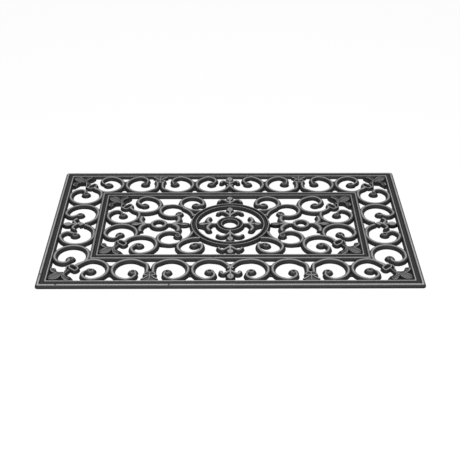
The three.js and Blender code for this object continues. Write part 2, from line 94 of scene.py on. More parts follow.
def curve_through(points: Sequence[Knot], closed: bool = False, step: float = STEP) -> list[Knot]:
    """A smooth centripetal curve through the points, cut into even steps.

    Args:
        points: (x, y) or (x, y, size) of what the curve passes through. A size that isn't given is 1.
        closed: Whether it comes back to its start.
        step: About how far apart the stations lie.

    Returns:
        The stations as (x, y, size), without a second copy of the first on a closed curve.
    """
    knots = [Vector((*p, 1.0)[:3]) for p in points]
    if closed:
        knots = [knots[-1], *knots, knots[0], knots[1]]
    else:
        knots = [2 * knots[0] - knots[1], *knots, 2 * knots[-1] - knots[-2]]
    dense = []
    for a, b, c, d in zip(knots, knots[1:], knots[2:], knots[3:]):
        u, v, w = (max((q - p).length, 1e-6) ** 0.5 for p, q in ((a, b), (b, c), (c, d)))
        start = ((b - a) / u - (c - a) / (u + v) + (c - b) / v) * v
        end = ((c - b) / v - (d - b) / (v + w) + (d - c) / w) * v
        for i in range(12):
            t = i / 12
            dense.append(b * (2 * t**3 - 3 * t**2 + 1) + start * (t**3 - 2 * t**2 + t)
                         + c * (3 * t**2 - 2 * t**3) + end * (t**3 - t**2))
    dense.append(knots[-2].copy())
    lengths = [(q - p).length for p, q in zip(dense, dense[1:])]
    total = sum(lengths)
    count = max(2, round(total / step))
    stations, walked, index = [], 0.0, 0
    for i in range(count + 1):
        goal = total * i / count
        while index < len(lengths) - 1 and walked + lengths[index] < goal:
            walked += lengths[index]
            index += 1
        share = (goal - walked) / max(lengths[index], 1e-9)
        stations.append(dense[index].lerp(dense[index + 1], min(share, 1.0)))
    return [tuple(p) for p in (stations[:-1] if closed else stations)]


def outset(outline: Sequence[Knot], distance: float) -> list[Point]:
    """Moves each point of an outline outwards along its normal.

    Args:
        outline: The closed outline, in millimetres.
        distance: How far out it goes.

    Returns:
        The wider outline, point by point.
    """
    count = len(outline)
    area = sum(outline[i - 1][0] * outline[i][1] - outline[i][0] * outline[i - 1][1] for i in range(count))
    sign = 1.0 if area > 0 else -1.0
    moved = []
    for i, (x, y, *_) in enumerate(outline):
        along = Vector(outline[(i + 1) % count][:2]) - Vector(outline[i - 1][:2])
        along.normalize()
        moved.append((x + sign * along.y * distance, y - sign * along.x * distance))
    return moved


@dataclass(frozen=True)
class Section:
    """Half widths of a drafted ridge at its foot and its crest, and its height, in millimetres."""

    foot: float
    crest: float
    height: float = FIELD_HEIGHT
    thinnest: float = 0.7
    growth: float = 0.3
    wall: Outline = (
        (1.0, 0.0), (0.89, 0.25), (0.76, 0.5), (0.6, 0.7), (0.43, 0.82), (0.26, 0.905), (0.1, 0.965))
    crown: Outline = ((0.84, 0.985), (0.45, 0.997))

    def half(self) -> list[Point]:
        """One side of the section: a wall with a slack shoulder, and half of a round crest.

        Returns:
            Its (side, height) points, from the foot up.
        """
        lean = self.foot - self.crest
        points = [(self.crest + lean * out, self.height * up) for out, up in self.wall]
        return [*points, *[(self.crest * out, self.height * up) for out, up in self.crown]]

    def loop(self) -> list[Point]:
        """The closed outline of the section."""
        half = self.half()
        return [*half, (0.0, self.height), *[(-side, up) for side, up in reversed(half)]]

    def rise(self, size: float) -> float:
        """Share of the full height that is left where the section has a size."""
        return self.thinnest + self.growth * min(size, 1.0)


@dataclass(frozen=True)
class LeafSection:
    """A hollow leaf, a millimetre wide to each side: a rim, a groove and a swelling in the middle."""

    profile: Outline = (
        (1.42, 0.0), (1.24, 1.6), (1.12, 3.8), (1.05, 6.0), (1.0, 7.0), (0.93, 7.45), (0.82, 7.5),
        (0.72, 7.0), (0.6, 6.0), (0.4, 5.95), (0.18, 6.25))
    middle: float = 6.35
    thinnest: float = 0.86
    growth: float = 0.07

    def loop(self) -> list[Point]:
        """The closed outline of the section."""
        return [*self.profile, (0.0, self.middle), *[(-side, up) for side, up in reversed(self.profile)]]

    def rise(self, size: float) -> float:
        """Share of the full height that is left where the leaf has a half width."""
        return min(self.thinnest + self.growth * size, 1.0)


class Ridge(Enum):
    """The ridges that the pattern is drawn with."""

    SCROLL = Section(6.2, 1.3)
    ARM = Section(7.6, 1.4)
    CURL = Section(5.7, 1.3)
    STEM = Section(4.8, 1.4)
    RIM = Section(4.2, 1.0, 7.3)
    BAND = Section(2.6, 1.0, 7.4)
    RIB = Section(2.2, 0.9, 7.1)
    BLADE = Section(7.0, 1.5)
    LEAF = LeafSection()


class Quarter(Enum):
    """The quarters of the mat, with the signs that carry the first quarter into each."""

    BACK_RIGHT = (1, 1)
    BACK_LEFT = (-1, 1)
    FRONT_RIGHT = (1, -1)
    FRONT_LEFT = (-1, -1)


class Casting:
    """A moulded piece in the making: one mesh that takes ridges, turned eyes and drafted pads."""

    EYE_SHOULDER = 1.45
    EYE_WALLS = ((1.0, 0.0), (0.86, 0.25), (0.66, 0.48), (0.38, 0.67), (0.0, 0.84))
    EYE_TOP = ((1.28, 0.905), (1.12, 0.965), (1.0, 1.0), (0.88, 0.99), (0.74, 0.93), (0.58, 0.8), (0.4, 0.69),
               (0.0, 0.64))

    def __init__(self) -> None:
        """Starts with an empty mesh."""
        self.mesh = bmesh.new()

    def ridge(self, path: Sequence[Knot], kind: Ridge, closed: bool = False, capped: bool = False) -> None:
        """Sweeps a ridge along a path.

        Args:
            path: (x, y, size) stations of its middle line, in millimetres.
            kind: What is swept.
            closed: Whether the path comes back to its start.
            capped: Whether the far end is rounded off.
        """
        section = kind.value
        loop = [Vector((0, side * MM, up * MM)) for side, up in section.loop()]
        self.loft([[place @ point for point in loop] for place in self.stations(path, kind, closed)], closed)
        if capped:
            x, y, size = path[-1]
            rise = section.rise(size)
            half = [(side * size, up * rise) for side, up in section.half()]
            self.turned([(0.0, 0.0), *half, (0.0, section.height * rise)], (x, y), steps=24)

    def loft(self, stations: Sequence[Sequence[Vector]], closed: bool = False) -> None:
        """Extrudes a closed outline from station to station.

        Args:
            stations: The outline's points at each station, in metres.
            closed: Whether the last station meets the first again.
        """
        ring = first = [self.mesh.verts.new(place) for place in stations[0]]
        edges = [self.mesh.edges.new(pair) for pair in zip(ring, ring[1:] + ring[:1])]
        if not closed:
            bmesh.ops.contextual_create(self.mesh, geom=edges)
        for station in stations[1:]:
            made = bmesh.ops.extrude_edge_only(self.mesh, edges=edges)["geom"]
            fresh = {item for item in made if isinstance(item, bmesh.types.BMVert)}
            ring = [next(e.other_vert(v) for e in v.link_edges if e.other_vert(v) in fresh) for v in ring]
            edges = [self.mesh.edges.get(pair) for pair in zip(ring, ring[1:] + ring[:1])]
            for vert, place in zip(ring, station):
                vert.co = place
        if closed:
            bmesh.ops.remove_doubles(self.mesh, verts=[*first, *ring], dist=1e-6)
        else:
            bmesh.ops.contextual_create(self.mesh, geom=edges)

    @staticmethod
    def stations(path: Sequence[Knot], kind: Ridge, closed: bool) -> list[Matrix]:
        """Where the section stands at each station of a path.

        Args:
            path: (x, y, size) stations, in millimetres.
            kind: What is swept.
            closed: Whether the path comes back to its start.

        Returns:
            One matrix for each station, and the first once more on a closed path.
        """
        last = len(path) - 1
        places = []
        for i, (x, y, size) in enumerate(path):
            before = path[i - 1 if closed or i else 0]
            after = path[(i + 1) % len(path) if closed else min(i + 1, last)]
            angle = math.atan2(after[1] - before[1], after[0] - before[0])
            turn = Matrix.Rotation(angle, 4, "Z") @ Matrix.Diagonal((1, size, kind.value.rise(size), 1))
            places.append(Matrix.Translation((x * MM, y * MM, 0)) @ turn)
        return [*places, places[0]] if closed else places

    def turned(self, profile: Sequence[Point], centre: Point, closed: bool = False, steps: int = 40) -> None:
        """Spins a profile about an upright axis.

        Args:
            profile: (radius, height) points, in millimetres.
            centre: Where the axis stands.
            closed: Whether the profile is a loop, as a ring's is.
            steps: How many faces go round.
        """
        middle = Vector((centre[0] * MM, centre[1] * MM, 0))
        verts = [self.mesh.verts.new(middle + Vector((radius * MM, 0, up * MM))) for radius, up in profile]
        pairs = list(zip(verts, verts[1:])) + ([(verts[-1], verts[0])] if closed else [])
        edges = [self.mesh.edges.new(pair) for pair in pairs]
        bmesh.ops.spin(self.mesh, geom=verts + edges, cent=middle, axis=(0, 0, 1), dvec=(0, 0, 0),
                       angle=2 * math.pi, steps=steps, use_merge=True)
        poles = [v for v in self.mesh.verts if (v.co.xy - middle.xy).length < 1e-7]
        bmesh.ops.remove_doubles(self.mesh, verts=poles, dist=1e-7)

    def eye(self, centre: Point, base: float, rim: float = 4.3, height: float = EYE_HEIGHT) -> None:
        """Turns the eye of a scroll: a slack cone with a narrow rim round a deep dimple.

        Args:
            centre: Middle of the eye, in millimetres.
            base: Radius at its foot.
            rim: Radius of the crest of its rim.
            height: Height of its rim.
        """
        shoulder = rim * self.EYE_SHOULDER
        lean = base - shoulder
        profile = [(0.0, 0.0), *[(shoulder + lean * out, height * up) for out, up in self.EYE_WALLS]]
        profile += [(rim * out, height * up) for out, up in self.EYE_TOP]
        self.turned(profile, centre, steps=32)

    def pad(self, outline: Sequence[Knot], draft: float, levels: Sequence[Point]) -> None:
        """Raises a drafted pad, and steps its top in and up or down.

        Args:
            outline: Edge of its top, in millimetres.
            draft: How far its foot stands out past its top.
            levels: (how far in, how far up) steps that follow one another from the foot.
        """
        foot = outset(outline, draft)
        face = self.mesh.faces.new([self.mesh.verts.new((x * MM, y * MM, 0)) for x, y in foot])
        face.normal_update()
        if face.normal.z < 0:
            face.normal_flip()
        rim = list(face.edges)
        for inwards, upwards in levels:
            bmesh.ops.inset_region(self.mesh, faces=[face], thickness=inwards * MM, depth=upwards * MM,
                                   use_boundary=True)
        bmesh.ops.contextual_create(self.mesh, geom=[edge for edge in rim if edge.is_valid])

    def web(self, outline: Sequence[Knot], draft: float, height: float) -> None:
        """Raises a flat web with the outline of its top, which its foot stands out past by the draft."""
        self.pad(outline, draft, ((draft, height),))

    def place(self, matrix: Matrix) -> None:
        """Moves everything made so far."""
        bmesh.ops.transform(self.mesh, matrix=matrix, verts=self.mesh.verts)

    def doubled(self, mirror: Matrix) -> None:
        """Adds the mirror image of everything made so far.

        Args:
            mirror: The reflection.
        """
        made = bmesh.ops.duplicate(self.mesh, geom=[*self.mesh.verts, *self.mesh.edges, *self.mesh.faces])
        copies = [item for item in made["geom"] if isinstance(item, bmesh.types.BMVert)]
        bmesh.ops.transform(self.mesh, matrix=mirror, verts=copies)

    def finish(self, name: str, nodes: Sequence[str], material: bpy.types.Material,
               signs: Sequence[int] = (1, 1)) -> bpy.types.Object:
        """Makes the piece, and hides the nodes that it is built in place of.

        Args:
            name: The piece's name.
            nodes: The nodes that it is built in place of; they are hidden.
            material: Its material: rubber with painted highlight and shade.
            signs: Signs of x and y that carry it into its place.

        Returns:
            The finished object, riding on the mat.
        """
        copy = self.mesh.copy()
        bmesh.ops.transform(copy, matrix=Matrix.Diagonal((*signs, 1, 1)), verts=copy.verts)
        bmesh.ops.recalc_face_normals(copy, faces=copy.faces)
        data = bpy.data.meshes.new(name)
        copy.to_mesh(data)
        copy.free()
        data.polygons.foreach_set("use_smooth", [True] * len(data.polygons))
        data.set_sharp_from_angle(angle=math.radians(SHARP_ANGLE))
        data.materials.append(material)
        piece = bpy.data.objects.new(name, data)
        bpy.context.scene.collection.objects.link(piece)
        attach(piece, BODY)
        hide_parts(*nodes)
        log.info("%s: %d faces for %s", name, len(data.polygons), ", ".join(nodes))
        return piece


class Signal:
    """A node socket that takes part in sums."""

    def __init__(self, tree: bpy.types.NodeTree, socket: bpy.types.NodeSocket) -> None:
        """Keeps the socket and its tree."""
        self.tree = tree
        self.socket = socket

    def math(self, operation: str, other: "Signal | float") -> "Signal":
        """A Math node of this signal and another.

        Args:
            operation: The node's operation.
            other: Its second input.

        Returns:
            Its result.
        """
        return node(self.tree, "ShaderNodeMath", {"operation": operation}, {0: self, 1: other})

    def __add__(self, other: "Signal | float") -> "Signal":
        """Sum."""
        return self.math("ADD", other)

    def __mul__(self, other: "Signal | float") -> "Signal":
        """Product."""
        return self.math("MULTIPLY", other)

    def __sub__(self, other: "Signal | float") -> "Signal":
        """Difference."""
        return self.math("SUBTRACT", other)

    def __rsub__(self, other: float) -> "Signal":
        """Difference from a number."""
        return (self * -1.0) + other

    __radd__ = __add__
    __rmul__ = __mul__

    def ramp(self, low: float, high: float) -> "Signal":
        """A smooth step.

        Args:
            low: Where it starts, at 0.
            high: Where it ends, at 1.

        Returns:
            The step.
        """
        settings = {"interpolation_type": "SMOOTHSTEP"}
        values = {"Value": self, "From Min": low, "From Max": high, "To Min": 0.0, "To Max": 1.0}
        return node(self.tree, "ShaderNodeMapRange", settings, values, "Result")


def node(tree: bpy.types.NodeTree, kind: str, settings: dict[str, object] | None = None,
         values: "dict[str | int, Signal | float | tuple] | None" = None, output: str | int = 0) -> Signal:
    """Adds a node.

    Args:
        tree: Where it goes.
        kind: Its type.
        settings: Its own settings, set first.
        values: Its inputs, as numbers or signals.
        output: Which output is wanted.

    Returns:
        That output.
    """
    made = tree.nodes.new(kind)
    for name, value in (settings or {}).items():
        setattr(made, name, value)
    for name, value in (values or {}).items():
        if isinstance(value, Signal):
            tree.links.new(value.socket, made.inputs[name])
        else:
            made.inputs[name].default_value = value
    return Signal(tree, made.outputs[output])


@dataclass(frozen=True)
class RubberWithPaintedLight:
    """Black moulded rubber with painted light: black walls with painted shade towards their feet, and a
    painted highlight that greys the faces that look up, more the higher they stand and most on the crests.

    The pairs are the ends of a smooth step: of how far a face looks up, or of its height in millimetres.
    """

    name: str = "moulded_rubber_painted_light"
    # wall is the rubber's black. The other tones are painted light: painted shade by the feet, and a painted
    # highlight on the tops that grows from the low tops to the crests.
    wall: float = 0.012
    low_top_painted_light: float = 0.03
    middle_top_painted_light: float = 0.11
    crest: float = 0.33
    slack: Point = (0.7, 0.965)
    flatness: Point = (0.92, 0.99)
    foot_painted_shade_heights: Point = (0.4, 4.2)
    low_painted_light_heights: Point = (1.0, 3.0)
    middle_painted_light_heights: Point = (4.6, 5.8)
    crest_painted_highlight_heights: Point = (6.1, 6.9)
    foot_painted_shade_share: float = 0.4
    roughness: float = 0.62
    specular: float = 0.16
    grain: float = 0.03

    def material(self) -> bpy.types.Material:
        """Builds the material.

        Returns:
            The finished material.
        """
        made = bpy.data.materials.new(self.name)
        made.use_nodes = True
        tree = made.node_tree
        shader = tree.nodes["Principled BSDF"]
        coordinates = node(tree, "ShaderNodeTexCoord", output="Object")
        height = node(tree, "ShaderNodeSeparateXYZ", values={0: coordinates}, output="Z") * (1 / MM)
        normal = node(tree, "ShaderNodeNewGeometry", output="Normal")
        upward = node(tree, "ShaderNodeSeparateXYZ", values={0: normal}, output="Z")
        blotch = self.noise(tree, coordinates, 38.0, 3.0)
        speck = self.noise(tree, coordinates, 420.0, 2.0)
        grain = self.noise(tree, coordinates, 1500.0, 2.0)
        # Painted light: faces that look up get a painted highlight that rises with their height, and walls
        # get painted shade towards the floor.
        top = upward.ramp(*self.slack)
        foot = self.wall * self.foot_painted_shade_share
        tone_with_painted_light = height.ramp(*self.foot_painted_shade_heights) * (self.wall - foot) + foot
        tone_with_painted_light = tone_with_painted_light + top * height.ramp(*self.low_painted_light_heights) * (self.low_top_painted_light - self.wall)
        tone_with_painted_light = tone_with_painted_light + top * height.ramp(*self.middle_painted_light_heights) * (self.middle_top_painted_light - self.low_top_painted_light)
        # Painted highlight on the flat tops of the crests, varied in blotches.
        crest = upward.ramp(*self.flatness) * height.ramp(*self.crest_painted_highlight_heights) * (blotch * 0.4 + 0.8)
        tone_with_painted_light = (tone_with_painted_light + crest * (self.crest - self.middle_top_painted_light)) * (speck * 0.5 + 0.75)
        colour = node(tree, "ShaderNodeCombineColor", values={0: tone_with_painted_light, 1: tone_with_painted_light, 2: tone_with_painted_light * 1.02})
        tree.links.new(colour.socket, shader.inputs["Base Color"])
        roughness = (speck * 0.16 + (self.roughness - 0.08)) - crest * 0.06
        tree.links.new(roughness.socket, shader.inputs["Roughness"])
        shader.inputs["Specular IOR Level"].default_value = self.specular
        relief = node(tree, "ShaderNodeBump",
                      values={"Strength": 0.6, "Distance": self.grain * MM, "Height": grain + speck * 2.0})
        tree.links.new(relief.socket, shader.inputs["Normal"])
        return made

    @staticmethod
    def noise(tree: bpy.types.NodeTree, coordinates: Signal, scale: float, detail: float) -> Signal:
        """Noise on the mat's own coordinates, about 0.5 on average."""
        values = {"Vector": coordinates, "Scale": scale, "Detail": detail, "Roughness": 0.55}
        return node(tree, "ShaderNodeTexNoise", {"noise_dimensions": "3D"}, values, "Fac")


@dataclass
class BeadedFrame:
    """Four bars round a rectangle, each with two beads and a groove between them."""

    name: str
    x: float
    y: float
    beads: Point
    foot: float
    height: float
    radius: float
    groove: float = 3.6
    nicks: tuple[tuple[str, float, int], ...] = ()
    nick_half: float = 1.6
    nick_drop: float = 1.3
    nick_reach: Point = (1.9, 1.2)
    rising: Outline = (
        (0.0, 0.0), (0.03, 0.3), (0.11, 0.54), (0.26, 0.75), (0.46, 0.89), (0.68, 0.97), (0.88, 1.0))
    falling: Outline = ((0.6, 1.0), (1.5, 0.965), (2.2, 0.87), (2.7, 0.72))
    bead: Outline = (
        (-2.3, 1.9), (-1.95, 0.95), (-1.3, 0.26), (-0.6, 0.02), (0.6, 0.02), (1.3, 0.26), (1.95, 0.95),
        (2.3, 1.9))
    valley_out: Outline = ((3.3, 0.5), (4.0, 0.0))
    valley_in: Outline = ((-3.7, 0.0), (-2.9, 0.5))

    def section(self) -> list[Point]:
        """The lines that the moulding is made of.

        Returns:
            How far in and how high each of them runs, in millimetres.
        """
        outer, inner = self.beads
        points = [(outer * across, self.height * up) for across, up in self.rising]
        points += [(outer + side, self.height * up) for side, up in self.falling]
        points += [(outer + side, self.groove + up) for side, up in self.valley_out]
        points += [(inner + side, self.groove + up) for side, up in self.valley_in]
        points += [(inner + side, self.height - drop) for side, drop in self.bead]
        points += [(self.foot - 1.3, self.height * 0.36), (self.foot - 0.4, 1.2), (self.foot, 0.0)]
        return points

    def corner(self, inset: float, half_length: float, edge: float, share: float) -> Point:
        """Where one line of the moulding lies in a corner.

        Args:
            inset: How far in from the edge the line runs.
            half_length: Half the length of the bar.
            edge: How far the bar's edge is from the middle of the mat.
            share: From 0, where the corner's arc starts, to 1, on the mitre.

        Returns:
            Its place, for a bar along x on the front side.
        """
        radius = max(self.radius - inset, 2.2)
        angle = share * math.pi / 4
        x = half_length - inset - radius + radius * math.sin(angle)
        return x, -(edge - inset - radius) - radius * math.cos(angle)

    def bar(self, half_length: float, edge: float, nicks: Sequence[tuple[float, int]]) -> Casting:
        """Casts one bar along x, on the front side of the mat.

        Args:
            half_length: Half its length over its outer edge.
            edge: How far its outer edge is from the middle of the mat.
            nicks: (x, bead number) of each small nick in a bead.

        Returns:
            The bar.
        """
        stations: list[tuple[float, float]] = [(-1.0, 1 - i / 5) for i in range(6)]
        inner_end = half_length - self.foot - self.radius
        middle = [x + side for x, _ in nicks for side in (-2.2, -1.0, 0.0, 1.0, 2.2)]
        middle += [-inner_end + 2 * inner_end * i / 24 for i in range(25)]
        stations += [(0.0, x) for x in sorted(middle)]
        stations += [(1.0, i / 5) for i in range(6)]
        casting = Casting()
        casting.loft([self.settled(station, half_length, edge, nicks) for station in stations])
        return casting

    def settled(self, station: tuple[float, float], half_length: float, edge: float,
                nicks: Sequence[tuple[float, int]]) -> list[Vector]:
        """Where the lines of the moulding pass one station of a bar.

        Args:
            station: (side, share of the corner), or (0, x) along the straight.
            half_length: Half the bar's length.
            edge: How far its outer edge is from the middle.
            nicks: The nicks in its beads.

        Returns:
            The points, in the order of the section.
        """
        side, value = station
        places = []
        for inset, up in self.section():
            if side:
                x, y = self.corner(inset, half_length, edge, value)
                x *= side
            else:
                x, y = value, -(edge - inset)
                up -= self.nicked(x, inset, up, nicks)
            places.append(Vector((x * MM, y * MM, up * MM)))
        return places

    def nicked(self, x: float, inset: float, up: float, nicks: Sequence[tuple[float, int]]) -> float:
        """How deep the nicks go at a point of the moulding.

        Args:
            x: Where it lies along the bar.
            inset: How far in from the edge it lies.
            up: Its height.
            nicks: (x, bead number) of each nick.

        Returns:
            The depth, in millimetres.
        """
        depth = 0.0
        across, down = self.nick_reach
        for place, bead in nicks:
            on_bead = abs(inset - self.beads[bead]) < across and up > self.height - down
            if on_bead and abs(x - place) < self.nick_half:
                depth = self.nick_drop * (1 - abs(x - place) / self.nick_half)
        return depth

    def build(self, long_bar_painted_light: bpy.types.Material, short_bar_painted_light: bpy.types.Material) -> None:
        """Builds the four bars.

        Args:
            long_bar_painted_light: The material of the front and the back bar, with a broad painted highlight
                on its crests.
            short_bar_painted_light: The material of the bars at the ends: a copy with a narrower painted
                highlight on the crests, as light falls on the long bars' beads from the front.
        """
        quarter_turns = {"front": 0, "right": 1, "back": 2, "left": 3}
        for side, turns in quarter_turns.items():
            long = turns % 2 == 0
            nicks = [(x, bead) for where, x, bead in self.nicks if where == side]
            casting = self.bar(self.x if long else self.y, self.y if long else self.x, nicks)
            casting.place(Matrix.Rotation(turns * math.pi / 2, 4, "Z"))
            casting.finish(f"{self.name}_{side}_moulding", [f"{self.name}_{side}"],
                           long_bar_painted_light if long else short_bar_painted_light)


@dataclass(frozen=True)
class Scroll:
    """A scroll: a lead, a round stretch and a curl that ends in its eye. Curl and eye are from its centre.

    Its crest runs on round the rim of the eye: coil_turn degrees a knot, closing in and thinning out.
    """

    centre: Point
    radius: float
    sweep: Point
    curl: Path
    eye: Point
    eye_base: float
    lead: Path = ()
    rim: float = 4.3
    coil_knots: int = 6
    coil_turn: float = 32.0
    closing: float = 1.8
    coil_size: float = 0.62
    thinning: float = 0.3

    def cast(self, casting: Casting) -> None:
        """Adds the scroll.

        Args:
            casting: What it is added to.
        """
        knots = [*self.lead, *arc(self.centre, self.radius, *self.sweep), *shifted(self.curl, self.centre)]
        eye = shifted([self.eye], self.centre)[0]
        casting.ridge(curve_through([*knots, *self.coil(knots[-2], knots[-1], eye)]), Ridge.SCROLL)
        casting.eye(eye, self.eye_base, self.rim)

    def coil(self, before: Knot, last: Knot, eye: Point) -> list[Knot]:
        """How the crest runs on round the rim of the eye, where it sinks and thins out.

        Args:
            before: Last knot but one of the scroll.
            last: Its last knot.
            eye: Middle of the eye.

        Returns:
            The knots that follow, with sizes.
        """
        arm = Vector(last[:2]) - Vector(eye)
        along = Vector(last[:2]) - Vector(before[:2])
        way = 1.0 if arm.x * along.y - arm.y * along.x > 0 else -1.0
        start = math.degrees(math.atan2(arm.y, arm.x))
        knots = []
        for i in range(1, self.coil_knots + 1):
            share = i / self.coil_knots
            radius = self.rim + (arm.length - self.rim) * max(0.0, 1 - share * self.closing)
            place = on_circle(eye, radius, start + way * self.coil_turn * i)
            knots.append((*place, self.coil_size - self.thinning * share))
        return knots


@dataclass
class Scrollwork:
    """The scrolls of one quarter, each drawn with x and y both positive."""

    pitch: float = 78.5
    border_y: float = 168.4
    border_radius: float = 34.1
    lean: float = 1.2
    ends_touch: Point = (316.4, 80.3)
    long_arm: Outline = ((78, 31.2), (79.5, 37.1), (82.5, 45.1), (88.5, 54.1), (96.5, 61.6), (101, 66))
    web: Outline = ((-6, 11), (6, 11), (3.2, 18.8), (0, 17.8), (-3.2, 18.8))

    def border_centre(self, index: int, lean: float) -> Point:
        """Centre of a border scroll, which leans towards its neighbour."""
        return self.pitch * (index + 0.5) + lean, self.border_y

    def border(self) -> tuple[Scroll, Scroll, Scroll]:
        """The scrolls of the long border.

        Returns:
            The first, the third and the fourth. The second is the third's mirror image.
        """
        first = Scroll(
            self.border_centre(0, self.lean), self.border_radius, (270, 420), eye=(0.2, 4.9), eye_base=10.8,
            curl=((8, 33.4), (-3.8, 28.2), (-9.2, 19, 0.95), (-7.6, 11.6, 0.8), (-4.7, 5.8, 0.65)),
            lead=((1.5, 160.5), (4.5, 154.8), (10.5, 146.3), (20.5, 138.5)))
        third = Scroll(
            self.border_centre(2, self.lean), self.border_radius, (228, 420), eye=(-7.0, 6.2), eye_base=10.8,
            curl=((4.4, 33.4), (-6.4, 28.2), (-12.2, 20, 0.95), (-12.4, 12.4, 0.8), (-11, 6.6, 0.65)),
            lead=((163.2, 178), (162.8, 162), (165.6, 150)))
        fourth = Scroll(
            self.border_centre(3, -self.lean), self.border_radius, (270, 120), eye=(-0.5, 1.8), eye_base=11.3,
            curl=((-3.6, 33.4), (8, 28.4), (14.8, 18.4, 0.95), (12.8, 7.6, 0.8), (7.4, 1.8, 0.65)),
            lead=((303.5, 156.5), (297.5, 149.5), (291, 142.8), (283, 137)))
        return first, third, fourth

    def ends(self) -> tuple[Scroll, Scroll]:
        """The scrolls of the short border.

        Returns:
            The one in the corner and the one beside the middle.
        """
        corner = Scroll(
            (317.3, 117), 33.6, (180, 360), eye=(1.2, 11), eye_base=10.8,
            curl=((32.6, 10.6), (24.8, 22.8), (13.8, 27.2), (5, 23.4), (2.2, 15.5)),
            lead=((304, 154), (299.4, 148.6), (294.3, 145), (288.5, 140), (285.4, 133.6), (283.8, 125.6)))
        middle = Scroll(
            (316.2, 43.6), 34.2, (190, 0), eye=(4.1, -3.6), eye_base=10.6,
            curl=((29.1, -8.4), (22.1, -12.9), (15.1, -11.4), (9.6, -7.6)),
            lead=((304.5, 3.5), (298.3, 7), (290.3, 13.8), (284.6, 23.5)))
        return corner, middle

    def field(self) -> dict[str, Scroll]:
        """The scrolls of the field.

        Returns:
            A scroll for each node name, without its quarter.
        """
        side = Scroll(
            (226.8, 35.8), 33.3, (180, 360), eye=(1.4, 2.4), eye_base=10.2,
            curl=((30.4, 8.4), (22.6, 16.8, 0.95), (13.2, 19.2, 0.85), (6.6, 14.8, 0.7), (3.4, 8, 0.6)),
            lead=((195.6, 47),))
        corner = Scroll(
            (183.7, 78.5), 33.8, (225, 90), eye=(1.1, 1), eye_base=10.3,
            curl=((8.4, 30), (14.6, 22), (16.4, 12.5), (8.8, -0.5)),
            lead=((215.5, 70), (211.5, 61.2), (204, 53.2), (194, 48.4), (183, 46.8), (171.5, 48.4)))
        small = Scroll(
            (125, 54.8), 24.5, (55, -112), eye=(-16.8, -10.6), eye_base=9.8,
            curl=((-16, -19.6),),
            lead=((102, 68.6, 0.8), (107.6, 73.4, 0.78), (115.6, 77, 0.78), (125, 78.4, 0.8),
                  (133, 76.8, 0.86)))
        arch = Scroll(
            (82, 86), 24.8, (-20, 200), eye=(-8.8, -6.4), eye_base=10.8,
            curl=((-16.8, -9),),
            lead=((62.5, 55), (70.5, 54.8), (80, 56.4), (90, 61.3), (98, 67.4)))
        return {"side_scroll": side, "corner_scroll": corner, "small_scroll": small, "arch_scroll": arch}

    def castings(self) -> dict[str, Casting]:
        """Casts each node's scrolls for the first quarter.

        Returns:
            A casting for each node name, without its quarter.
        """
        first, third, fourth = self.border()
        outer, inner, ends = Casting(), Casting(), Casting()
        third.cast(inner)
        inner.place(Matrix.Translation((4 * self.pitch * MM, 0, 0)) @ MIRROR_X)
        first.cast(inner)
        for scroll in (third, fourth):
            scroll.cast(outer)
        for scroll in self.ends():
            scroll.cast(ends)
        self.webs(outer, (3 * self.pitch, self.border_y), 0)
        self.webs(inner, (self.pitch, self.border_y), 0)
        self.webs(ends, self.ends_touch, 90)
        castings = {"border_scrolls_outer": outer, "border_scrolls_inner": inner, "end_scrolls": ends}
        for name, scroll in self.field().items():
            castings[name] = Casting()
            scroll.cast(castings[name])
        castings["arch_scroll"].ridge(curve_through(self.long_arm), Ridge.CURL)
        return castings

    def webs(self, casting: Casting, middle: Point, degrees: float) -> None:
        """Fills the feet of both corners where two scrolls touch.

        Args:
            casting: What holds the two scrolls.
            middle: Where they touch.
            degrees: Direction in which the two lie beside each other.
        """
        for side in (0, 180):
            turn = Matrix.Rotation(math.radians(degrees + side), 2)
            outline = [tuple(turn @ Vector(p)) for p in self.web]
            casting.web(shifted(outline, middle), draft=0.8, height=3.4)

    def build(self, material: bpy.types.Material) -> None:
        """Builds every scroll in all four quarters."""
        for name, casting in self.castings().items():
            in_quarters(casting, name, material)


def in_quarters(casting: Casting, name: str, material: bpy.types.Material) -> None:
    """Makes a casting's piece in each quarter.

    Args:
        casting: The first quarter's casting.
        name: The nodes' name, without the quarter.
        material: The material: rubber with painted highlight and shade.
    """
    for quarter in Quarter:
        full = f"{name}_{quarter.name.lower()}"
        casting.finish(f"{full}_moulding", [full], material, quarter.value)


